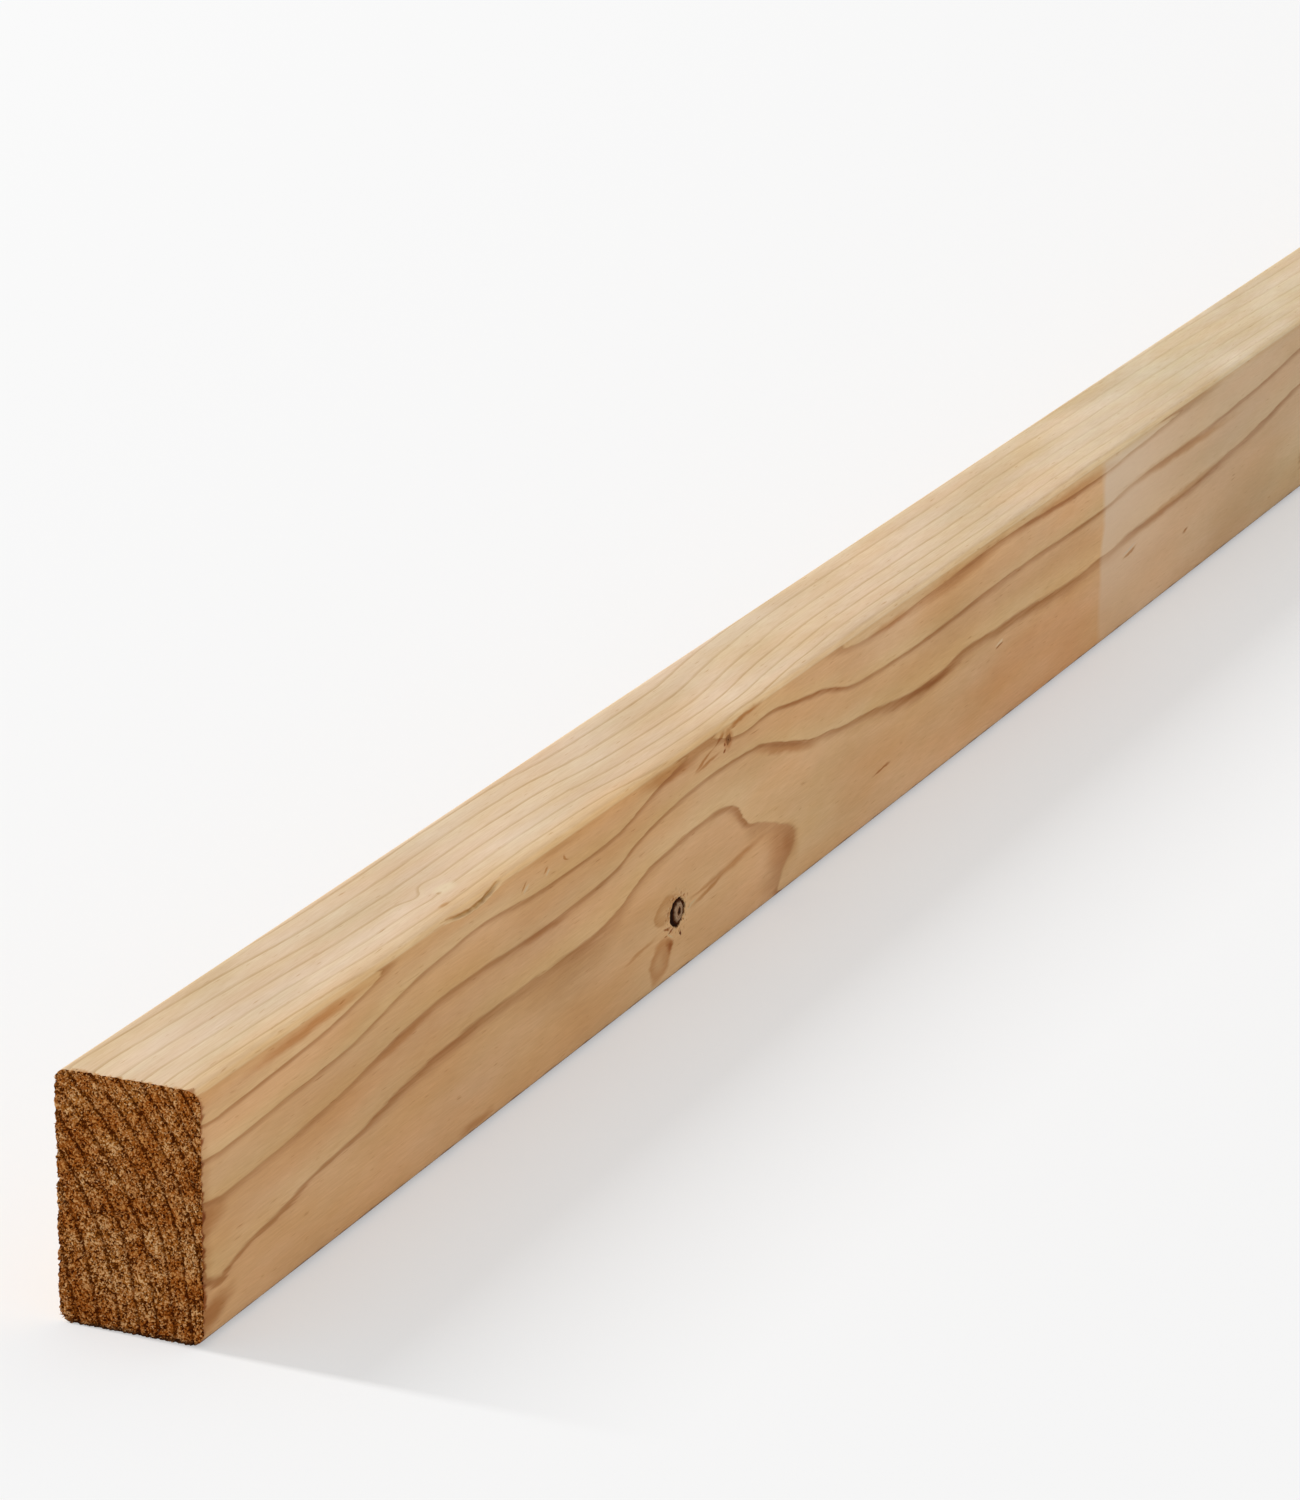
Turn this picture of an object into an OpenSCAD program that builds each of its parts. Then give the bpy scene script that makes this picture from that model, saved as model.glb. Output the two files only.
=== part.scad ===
// Planed softwood plank: one sawn length of timber with four eased long edges.
// It lies on a narrow edge, with the length along X and the wide faces in front and behind.

/* [Section] */
// Thickness of the plank, across the narrow edge that it lies on
plank_t = 38; // [20:1:100]
// Height of the plank, across its wide face
plank_h = 63; // [30:1:300]
// Radius planed on the four long edges
arris_r = 3.5; // [0.5:0.5:9]

/* [Length] */
// Length between the two sawn ends
plank_l = 2400; // [300:50:6000]

/* [Hidden] */

// Sides of a full circle of the eased edges
arris_sides = 64;
// Half the distance between the centres of the eased edges, across the thickness
arris_y = plank_t / 2 - arris_r;
// Heights of the centres of the lower and the upper eased edges
arris_z = [arris_r, plank_h - arris_r];

// Outline that the planer leaves: flat faces and edges, with a quarter round at each corner.
// It stands on the origin, centred across its thickness.
module planed_section() {
    translate([-plank_t / 2, arris_r])
        square([plank_t, plank_h - 2 * arris_r]);
    translate([-arris_y, 0])
        square([2 * arris_y, plank_h]);
    for (side = [-1, 1], z = arris_z)
        translate([side * arris_y, z])
            circle(r = arris_r, $fn = arris_sides);
}

// The whole plank: the planed outline, sawn square at both ends.
module plank() {
    color("burlywood")
        rotate([90, 0, 90])
            linear_extrude(height = plank_l, center = true)
                planed_section();
}

plank();
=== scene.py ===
"""Planed softwood plank: growth rings, knots and torn ends. Laid out as an add-on and run as a script."""
import math
from collections import namedtuple

import bmesh
import bpy
from bpy.props import FloatProperty, FloatVectorProperty, IntProperty, PointerProperty
from mathutils import Matrix, Vector, noise


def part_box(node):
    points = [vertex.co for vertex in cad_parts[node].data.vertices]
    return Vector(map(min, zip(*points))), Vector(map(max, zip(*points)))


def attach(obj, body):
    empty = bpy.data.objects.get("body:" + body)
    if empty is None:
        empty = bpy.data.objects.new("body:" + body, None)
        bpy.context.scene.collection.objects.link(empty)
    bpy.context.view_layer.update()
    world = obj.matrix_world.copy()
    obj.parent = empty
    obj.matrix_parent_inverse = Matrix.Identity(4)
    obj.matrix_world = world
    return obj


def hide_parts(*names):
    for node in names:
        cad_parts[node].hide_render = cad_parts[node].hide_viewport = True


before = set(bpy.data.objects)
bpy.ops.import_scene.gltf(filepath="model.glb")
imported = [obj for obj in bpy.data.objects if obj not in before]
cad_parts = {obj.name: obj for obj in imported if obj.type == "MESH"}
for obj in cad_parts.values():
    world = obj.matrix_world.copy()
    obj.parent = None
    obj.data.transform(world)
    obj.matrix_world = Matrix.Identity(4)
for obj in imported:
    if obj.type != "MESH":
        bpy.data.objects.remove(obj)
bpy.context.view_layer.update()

bl_info = {
    "name": "Planed Softwood Plank",
    "version": (1, 0, 0),
    "blender": (4, 5, 0),
    "location": "3D View > Sidebar > Plank",
    "description": "Dresses a plank with growth rings, knots, a torn edge and rough-sawn ends",
    "category": "Object",
}

MM = 0.001

# The plank's corners in the frame. Places on it are in mm: along from the near sawn end, across, and up.
LOW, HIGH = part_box("plank")
LENGTH = (HIGH.x - LOW.x) / MM
WIDE_FACE = LOW.y / MM
TOP = HIGH.z / MM

# Path of the tree's pith, by the place along: how far it lies behind the wide face, and how high
PITH_BEHIND = (
    (0, 104.0), (45, 105.0), (90, 104.3), (125, 103.6), (200, 104.6), (240, 103.3), (300, 101.3),
    (340, 103.3), (380, 106.1), (455, 108.0), (520, 107.8), (600, 108.3), (650, 107.7), (720, 107.6),
    (810, 106.3), (1000, 103.5), (1250, 106.5), (1500, 103.0), (1750, 107.0), (2050, 104.0), (2400, 106.0),
)
PITH_HEIGHT = (
    (0, 0.0), (60, 4.0), (120, 7.0), (200, 8.2), (340, 9.5), (600, 11.5), (1000, 13.0), (1500, 17.0),
    (2400, 12.0),
)
# A tree adds much the same area of wood each year, so the square of the radius grows evenly
RING_AREA = 870.0
RING_PHASE = 13.92
# Slow wander of the grain: its size in mm along, across and up, and its reach in rings
WANDER_SIZE = 80, 25, 25
WANDER_REACH = 0.12

# Where the grain swells round knots and dips: centre and reach in mm, and the shift in rings
GRAIN_SWELLS = (
    ((0, -19, 12), (22, 40, 9), 0.16),
    ((24, -19, 11), (15, 40, 9), -0.17),
    ((62, -19, 22), (28, 40, 8), -0.20),
    ((85, -19, 50), (32, 30, 8), 0.16),
    ((152, -19, 57), (26, 30, 7), -0.18),
    ((195, -19, 31), (55, 40, 9), -0.26),
    ((245, -19, 56), (26, 30, 7), 0.20),
    ((326, -19, 31), (17, 40, 9), 0.58),
    ((350, -19, 27), (16, 40, 7), 0.32),
    ((352, -19, 0), (22, 40, 9), 0.26),
    ((312, -19, 8), (62, 40, 13), 0.52),
    ((318, -19, 59), (16, 6, 5.5), 0.50),
    ((374, -19, 54), (22, 30, 7), -0.18),
    ((405, -19, 35), (30, 40, 7), -0.22),
    ((490, -19, 33), (18, 40, 7), -0.11),
    ((490, -19, 60), (110, 20, 5), -0.28),
    ((770, -19, 61), (90, 20, 5), -0.34),
    ((690, -19, 33), (50, 40, 9), 0.12),
    ((150, -6, 63), (75, 10, 8), 0.32),
    ((141, -4.5, 63), (6, 4, 8), -0.40),
    ((150, -3, 63), (6, 3, 8), 0.25),
    ((400, 14, 66), (6000, 16, 40), 0.75),
)

# Where in a year its dark line starts, and where it is darkest
LINE_START, LINE_END = 0.82, 0.98
# Start of a year's band of late wood, its depth, and the weight of its line, each from least to most. They
# change along the plank over some 90 mm.
BAND_RANGES = (0.86, 0.70), (0.2, 0.65), (0.4, 0.95)
BAND_STRETCH = 90
# Places with bands of their own: centre and reach in mm, then the same values and the start of the line.
# The bands are broad with no sharp line in the bend past the dead knot, and thin low down by the near end.
BAND_CHANGES = (
    ((338, -19, 17), (30, 20, 17), (0.5, 0.45, 0.4, LINE_START)),
    ((48, -19, 13), (72, 20, 17), (0.9, 0.15, 0.75, 0.94)),
)
# Share of the line's weight on the narrow faces, by the place along
FAINT_LINES = (0, 1), (400, 1), (640, 0.55), (860, 0.5), (1150, 1), (LENGTH, 1)
# Where the bleached stretch of the wide face starts, and where it stops fading, in mm along
BLEACH_START, BLEACH_END = 615, 715

# Coloured places on the planed faces: centre and reach in mm, rise in degrees on the wide face, strength at
# the middle, share of the reach where the strength is full, and the tint
Stain = namedtuple("Stain", "centre reach rise middle full tint")
STAINS = (
    # Greyer wood past the bleached stretch, and red wood before it
    Stain((780, -19, 31), (130, 3, 80), 0, 1, 0.4, "#F1F5F9"),
    Stain((556, -19, 12), (76, 9, 24), 0, 1, 0.35, "#FCF0E6"),
    # Brown wood inside the bend of the grain past the knot
    Stain((346, -19, 14.5), (17, 9, 10), -18, 1, 0.2, "#F0E3D5"),
    Stain((353, -19, 15.0), (9, 6, 7), -25, 1, 0.2, "#F0E6DA"),
    # Places where a band of late wood is broad
    Stain((348, -19, 43.6), (30, 6, 2.2), -14, 1, 0.2, "#E4D0BA"),
    Stain((104, -19, 40.6), (28, 6, 2.0), 6, 1, 0.2, "#E8D6C2"),
    Stain((186, -19, 41.8), (20, 6, 1.6), -2, 1, 0.2, "#E6D3BE"),
    Stain((462, -19, 31.0), (28, 6, 2.0), -2, 1, 0.2, "#E8D6C2"),
    Stain((690, -19, 47.2), (75, 6, 2.4), -1, 1, 0.2, "#E6D4C0"),
    Stain((684, -19, 31.8), (75, 6, 2.4), 2, 1, 0.2, "#E6D4C0"),
    # Cooler far stretch of the top
    Stain((800, 0, 63), (340, 40, 8), 0, 0.9, 0.1, "#F8FFFF"),
    # Painted shade along the lower arris, where the plank stands on the floor
    Stain((400, -19, 0), (3000, 5, 2.2), 0, 1, 0.5, "#7C5C42"),
    # Browner wood between the lines, and the yellow edge of the top
    Stain((115, -19, 36), (150, 9, 16), 5, 1, 0.3, "#F4ECE4"),
    Stain((535, -19, 46), (110, 9, 14), 0, 1, 0.3, "#F6F3F1"),
    Stain((100, -18, 63), (420, 9, 6), 0, 1, 0.2, "#FFF6E6"),
    Stain((146, -19, 3.5), (14, 5, 2.2), 0, 1, 0.2, "#E4D2BE"),
    # Grimy rim of the near end, darkest where the bands run out
    Stain((-0.5, -19, 31), (2.6, 6, 60), 0, 1, 0.45, "#B0835A"),
    Stain((-0.5, 0, 63), (2.2, 24, 4), 0, 1, 0.4, "#DDBE98"),
    Stain((0, -19, 30), (7, 6, 46), 0, 1, 0.1, "#EADFD4"),
    Stain((4, -19, 7), (15, 6, 5), 12, 1, 0.2, "#CFB59A"),
    Stain((3, -19, 30.5), (13, 6, 5), 4, 1, 0.2, "#E6D6C6"),
    # Late wood that the rounded arris cuts at a slant
    Stain((478, -19, 58.4), (48, 6, 3.8), 0, 1, 0.4, "#F0E5D9"),
    Stain((428, -19, 58.6), (24, 6, 1.8), 0, 1, 0.2, "#E8D3BE"),
    Stain((575, -19, 59.0), (66, 6, 2.4), 0, 1, 0.2, "#E8D5C2"),
    Stain((266, -19, 59.6), (24, 6, 2.8), -3, 1, 0.3, "#E4CFB8"),
    Stain((54, -19, 59.8), (40, 6, 2.0), 1, 1, 0.2, "#E6D0B8"),
    # Swirl and halo round the dead knot, and the lines that leave it
    Stain((261.5, -19, 8.8), (9.2, 6, 6.2), 20, 0.5, 0.7, "#E4D0BC"),
    Stain((267.5, -19, 11.0), (3.6, 4, 2.4), -50, 1, 0.2, "#E0C8B0"),
    Stain((265.0, -19, 22.0), (8.4, 6, 4.2), 4, 0.3, 0.8, "#E9DBCA"),
    Stain((274.6, -19, 12.4), (0.8, 3, 1.3), 0, 1, 0.5, "#74461E"),
    Stain((266.2, -19, 16.3), (2.6, 3, 0.5), -14, 1, 0.3, "#B0855E"),
    Stain((268.8, -19, 15.2), (2.2, 3, 0.5), 12, 1, 0.3, "#A87A52"),
    Stain((265.6, -19, 14.6), (2.0, 3, 0.4), 0, 1, 0.3, "#BE966E"),
    Stain((266.6, -19, 11.2), (2.6, 3, 1.1), -30, 1, 0.1, "#E6D4BE"),
    Stain((292, -19, 20.5), (15, 4, 0.9), 3, 1, 0.2, "#E4D2BE"),
    Stain((294, -19, 19.0), (14, 4, 1.1), 7, 1, 0.2, "#DCC5AA"),
    Stain((313, -19, 21.2), (26, 4, 1.9), 4, 1, 0.2, "#E4D0BA"),
    Stain((248, -19, 15.6), (16, 4, 0.8), 4, 1, 0.2, "#EADAC8"),
    # Lines that part round the pin knot
    Stain((290.5, -19, 57.0), (9.5, 5, 0.8), 15, 1, 0.3, "#DAC0A2"),
    Stain((300.5, -19, 60.0), (4.5, 5, 0.8), 20, 1, 0.3, "#D8BC9E"),
    Stain((319, -19, 61.4), (18, 5, 0.7), 2, 1, 0.3, "#D6B898"),
    Stain((292.5, -19, 55.5), (10.5, 5, 0.7), 4, 1, 0.3, "#DEC6AA"),
    Stain((303.3, -19, 55.6), (1.4, 4, 0.7), 10, 1, 0.4, "#B08058"),
    Stain((303.6, -19, 57.4), (1.0, 4, 0.6), 0, 1, 0.4, "#B88C64"),
    # Small tears and nicks of the planing
    Stain((174.5, -19, 57.2), (2.6, 3, 0.6), 30, 1, 0.4, "#E2CBAE"),
    Stain((187, -19, 57.6), (2.4, 3, 0.6), 25, 1, 0.4, "#E2CBAE"),
    Stain((200, -19, 57.4), (2.2, 3, 0.6), -30, 1, 0.4, "#DEC5A6"),
    Stain((519, -19, 26.7), (4.0, 3, 0.5), 6, 1, 0.5, "#CBA888"),
    Stain((146.2, -8.6, 63), (1.8, 0.7, 4), 0, 1, 0.4, "#DCC5A6"),
    Stain((139.5, -13.7, 63), (4.2, 1.0, 4), 0, 1, 0.3, "#EAD9C0"),
    Stain((422, -19, 15.6), (9, 3, 0.5), 2, 1, 0.3, "#CDAA88"),
    Stain((640, -19, 25), (9, 3, 0.7), 8, 1, 0.3, "#D8BEA2"),
    Stain((696, -19, 18), (4, 3, 0.7), 5, 1, 0.3, "#CFAF90"),
)
# Paler places, in the same terms
PALE_STAINS = (
    Stain((519, -19, 27.6), (4.2, 3, 0.6), 6, 1, 0.5, "#E2C49C"),
    Stain((639, -19, 26.2), (8, 3, 0.6), 8, 1, 0.3, "#D8BFA2"),
    Stain((176, -19, 56.4), (2.6, 3, 0.5), 20, 1, 0.4, "#D9B98F"),
    Stain((188.5, -19, 56.8), (2.4, 3, 0.5), 20, 1, 0.4, "#D9B98F"),
    Stain((150.5, -8.0, 63), (7, 2.8, 4), 0, 0.8, 0.3, "#E1CAA8"),
    Stain((282.2, -19, 18.2), (4.0, 3, 0.5), 12, 1, 0.3, "#D6B688"),
    Stain((268.4, -19, 13.9), (2.6, 3, 0.5), -35, 1, 0.3, "#D8BA8C"),
)

# Dead knot with its bark, and the bare wood inside it, as ellipses that run through the plank
DEAD_KNOT = (272.9, -19, 19.0), (5.1, 4.0)
DEAD_HEART = (274.5, -19, 18.7), (2.8, 2.9)
KNOT_LEAN = -5.0
# Sound knots: centre, half width along and up, and the lean of the branch in degrees
SOUND_KNOTS = (
    ((306.4, -19, 58.1), (1.6, 1.3), -25),
    ((1210, -19, 38), (6.5, 5.0), -12),
    ((1684, -19, 21), (4.5, 3.8), -4),
    ((2052, -19, 52), (7.5, 6.0), -20),
)
# Reach in mm of a branch along its own length, where it has no end
ENDLESS = 1e5

# Ends of the torn arris in mm along, the stretch between them where it is deep, and the middle of its lip
TEAR_START, TEAR_END = 128, 168
TEAR_DEEP, TEAR_SHALLOW = 141, 152
LIP_MIDDLE = 145
# Sawn ends, in mm: the middle of the rings, the radius where crumbs keep their length, and the rim's width
END_PITH = 85, 4
END_RADIUS = 65
RIM_WIDTH = 1.6
# Points with more than this share of the attribute lie on a sawn end
SAWN_SHARE = 0.99
# Share of the fibres that would stand on a flat end. A rough one has some 1.4 times its area.
STANDING = 0.5


def linear(code):
    """Linear colour of an sRGB hex code."""
    parts = [int(code[i:i + 2], 16) / 255 for i in (1, 3, 5)]
    return tuple(c / 12.92 if c <= 0.04045 else ((c + 0.055) / 1.055) ** 2.4 for c in parts)


def add(tree, kind, inputs=None, output=0, points=None, stops=None, **settings):
    """Adds a node, sets or links its inputs, and returns one of its outputs, whose .node is the node itself.

    A plain kind, such as Math, is that shader node. A plain colour has three values. Points are those of
    the node's curve. Stops are those of its ramp, each with a colour or a shade of grey.
    """
    node = tree.nodes.new(kind if "Node" in kind else "ShaderNode" + kind)
    for name, value in settings.items():
        setattr(node, name, value)
    for key, value in (inputs or {}).items():
        if isinstance(value, bpy.types.NodeSocket):
            tree.links.new(value, node.inputs[key])
        else:
            socket = node.inputs[key]
            socket.default_value = (*value, 1) if socket.type == "RGBA" else value
    if points:
        curve = node.mapping.curves[0].points
        for x, y in points[1:-1]:
            curve.new(x, y)
        curve[0].location = points[0]
        curve[-1].location = points[-1]
        node.mapping.update()
    if stops:
        ramp = node.color_ramp.elements
        for place, _ in stops[1:-1]:
            ramp.new(place)
        for element, (place, colour) in zip(ramp, stops):
            element.position = place
            shade = (colour,) * 3 if isinstance(colour, (int, float)) else colour
            element.color = (*shade, 1.0)
    return node.outputs[output] if node.outputs else None


def maths(tree, operation, *values, **settings):
    """Adds a Math node with up to three numbers."""
    return add(tree, "Math", dict(enumerate(values)), operation=operation, **settings)


def vectors(tree, operation, *values, **settings):
    """Adds a Vector Math node with up to three vectors."""
    return add(tree, "VectorMath", dict(enumerate(values)), operation=operation, **settings)


def mapped(tree, value, low=0.0, high=1.0, bottom=0.0, top=1.0, smooth=False):
    """Maps a value so that low gives the bottom and high the top, in a straight line or eased."""
    return add(tree, "MapRange", {
        "Value": value, "From Min": low, "From Max": high, "To Min": bottom, "To Max": top},
        interpolation_type="SMOOTHSTEP" if smooth else "LINEAR")


def mixed(tree, share, under, over, blend="MIX"):
    """Lays a colour over another by a share from 0 to 1."""
    return add(tree, "Mix", {0: share, 6: under, 7: over}, output=2, data_type="RGBA", blend_type=blend)


def length_property(name, size, least, most, about):
    """Property for a length, given in mm."""
    return FloatProperty(
        name=name, description=about, default=size * MM, min=least * MM, max=most * MM, unit="LENGTH")


def colour_property(name, code, about):
    """Property for a colour, given as an sRGB hex code."""
    return FloatVectorProperty(
        name=name, description=about, default=linear(code), subtype="COLOR", min=0, max=1)


class PlankShape(bpy.types.PropertyGroup):
    """Sizes of the plank's fine shape."""
    arris_radius: length_property("Arris Radius", 3.5, 0.5, 9, "Radius planed on the four long edges")
    tear_depth: length_property("Tear Depth", 0.8, 0, 3, "Depth of the splinter torn from the top arris")
    bark_depth: length_property("Bark Depth", 0.7, 0, 3, "How far the bark round the dead knot has shrunk")
    saw_depth: length_property("Saw Roughness", 1.0, 0, 3, "Depth of the crumbly wood on the sawn ends")
    crumb_size: length_property("Crumb Size", 0.6, 0.2, 3, "Width of a broken bundle of fibres on the ends")
    rim_wear: length_property("Rim Wear", 0.4, 0, 3, "How far the rims of the sawn ends are broken away")
    fibre_length: length_property("Fibre Length", 1.1, 0.1, 4, "Length of the longest fibres on the ends")
    fibre_count: IntProperty(
        name="Fibres", description="Fibres of each sawn end, of which about two in three are left standing",
        default=1500, min=0, max=4000)


class PlankColours(bpy.types.PropertyGroup):
    """Colours of the timber."""
    early_wide: colour_property("Spring Wood, Wide Faces", "#ECC99B", "Pale wood at the start of each year")
    mid_wide: colour_property("Summer Wood, Wide Faces", "#EBC296", "Rosier wood of the middle of each year")
    late_wide: colour_property("Late Wood, Wide Faces", "#AF7745", "Dark line at the end of each year")
    early_edge: colour_property("Spring Wood, Narrow Faces", "#E7D3B8", "Pale wood at the start of each year")
    mid_edge: colour_property("Summer Wood, Narrow Faces", "#E6D0B8", "Rosier wood of the middle of a year")
    late_edge: colour_property("Late Wood, Narrow Faces", "#CAAE8A", "Fine line at the end of each year")
    pale_wood: colour_property("Bleached Wood", "#E2CBB0", "Greyer wood on a stretch of the wide face")
    sound_knot: colour_property("Sound Knots", "#9A6A41", "Red-brown wood of the knots that have grown in")
    bark: colour_property("Bark Ring", "#200A01", "Black bark round the dead knot")
    # The pit colour is painted shade for the hollows between the fibres; the tip colour is partly painted
    # highlight
    end_pit: colour_property("Sawn End, Pits", "#532402", "Dark hollows between the fibres of the sawn ends")
    end_wood: colour_property("Sawn End, Wood", "#B36E2A", "Main brown of the sawn ends")
    end_tip: colour_property("Sawn End, Tips", "#E8B880", "Pale tips of the broken fibres")


class PlankStage(bpy.types.PropertyGroup):
    """Floor, light and camera."""
    floor: colour_property("Floor", "#F5F5F5", "Colour of the plain floor")
    sky_light: FloatProperty(
        name="Room Light", description="Strength of the light from all round", default=0.65, min=0, max=2)
    strip_light: FloatProperty(
        name="Strip Light", description="Power of the tall soft strip behind the plank",
        default=830, min=0, unit="POWER")
    lens: FloatProperty(
        name="Lens", description="Focal length of the camera", default=140.33, unit="CAMERA")


def grain_noise(tree, place, size, detail, output="Fac", roughness=0.5):
    """Noise drawn out along the grain, with patches of the given size in mm along, across and up."""
    spread = vectors(tree, "MULTIPLY", place, [1 / mm for mm in size])
    return add(tree, "TexNoise", {
        "Vector": spread, "Scale": 1.0, "Detail": detail, "Roughness": roughness}, output=output)


def year_ring(tree, coords):
    """Place in mm of a point of the timber, and its year ring. Works in shaders and in Geometry Nodes."""
    place = vectors(tree, "MULTIPLY_ADD", coords, (1 / MM,) * 3, (LENGTH / 2, 0, 0))
    split = add(tree, "SeparateXYZ", {0: place}).node
    share = maths(tree, "MULTIPLY", split.outputs["X"], 1 / LENGTH)
    # The pith's path, with each curve scaled to the span of its own points
    pith = []
    for path in (PITH_BEHIND, PITH_HEIGHT):
        least = min(mm for _, mm in path)
        span = max(mm for _, mm in path) - least
        points = [(along / LENGTH, (mm - least) / span) for along, mm in path]
        curve = add(tree, "FloatCurve", {"Value": share}, points=points)
        pith.append(maths(tree, "MULTIPLY_ADD", curve, span, least))
    behind = maths(tree, "ADD", pith[0], WIDE_FACE)
    across = maths(tree, "SUBTRACT", behind, split.outputs["Y"])
    above = maths(tree, "SUBTRACT", split.outputs["Z"], pith[1])
    spoke = add(tree, "CombineXYZ", {0: across, 1: above})
    square = vectors(tree, "DOT_PRODUCT", spoke, spoke, output="Value")
    ring = maths(tree, "MULTIPLY_ADD", square, 1 / RING_AREA, -RING_PHASE)
    wander = grain_noise(tree, place, WANDER_SIZE, 2.0)
    wander = maths(tree, "SUBTRACT", wander, 0.5)
    ring = maths(tree, "MULTIPLY_ADD", wander, WANDER_REACH, ring)
    for centre, reach, shift in GRAIN_SWELLS:
        offset = vectors(tree, "SUBTRACT", place, centre)
        offset = vectors(tree, "DIVIDE", offset, reach)
        far = vectors(tree, "DOT_PRODUCT", offset, offset, output="Value")
        swell = maths(tree, "POWER", math.exp(-1), far)
        ring = maths(tree, "MULTIPLY_ADD", swell, shift, ring)
    return place, ring


def growth_rings():
    """Shader group that gives each point of the timber its place in mm and its year ring."""
    tree = bpy.data.node_groups.new("growth_rings", "ShaderNodeTree")
    for name, kind in (("Place", "Vector"), ("Ring", "Float")):
        tree.interface.new_socket(name, in_out="OUTPUT", socket_type=f"NodeSocket{kind}")
    place, ring = year_ring(tree, add(tree, "TexCoord", output="Object"))
    add(tree, "NodeGroupOutput", {"Place": place, "Ring": ring})
    return tree


def late_groove(tree, place, ring):
    """Strength of the ragged grooves that late wood leaves in a sawn end, broken in places."""
    ragged = add(tree, "TexNoise", {"Vector": place, "Scale": 1 / 1.5, "Detail": 2.0}, output="Fac")
    ragged = maths(tree, "MULTIPLY_ADD", ragged, 0.14, ring)
    season = maths(tree, "FRACT", ragged)
    groove = add(tree, "ValToRGB", {"Fac": season}, stops=(
        (0.0, 0.3), (0.08, 0), (0.80, 0), (0.89, 1), (0.95, 1), (1.0, 0.3)))
    broken = add(tree, "TexNoise", {"Vector": place, "Scale": 1 / 7, "Detail": 2.0}, output="Fac")
    broken = mapped(tree, broken, 0.3, 0.48, 0.5)
    return maths(tree, "MULTIPLY", groove, broken)


def new_material(name):
    """An empty node material."""
    material = bpy.data.materials.new(name)
    material.use_nodes = True
    material.node_tree.nodes.clear()
    return material


def ellipse_reach(tree, place, centre, reach, turn=(0, 0, 0)):
    """Distance from the middle of an ellipsoid, where 1 is its rim."""
    spot = add(tree, "Mapping", {
        "Vector": place, "Location": centre, "Rotation": turn, "Scale": reach}, vector_type="TEXTURE")
    return vectors(tree, "LENGTH", spot, output="Value")


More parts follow.
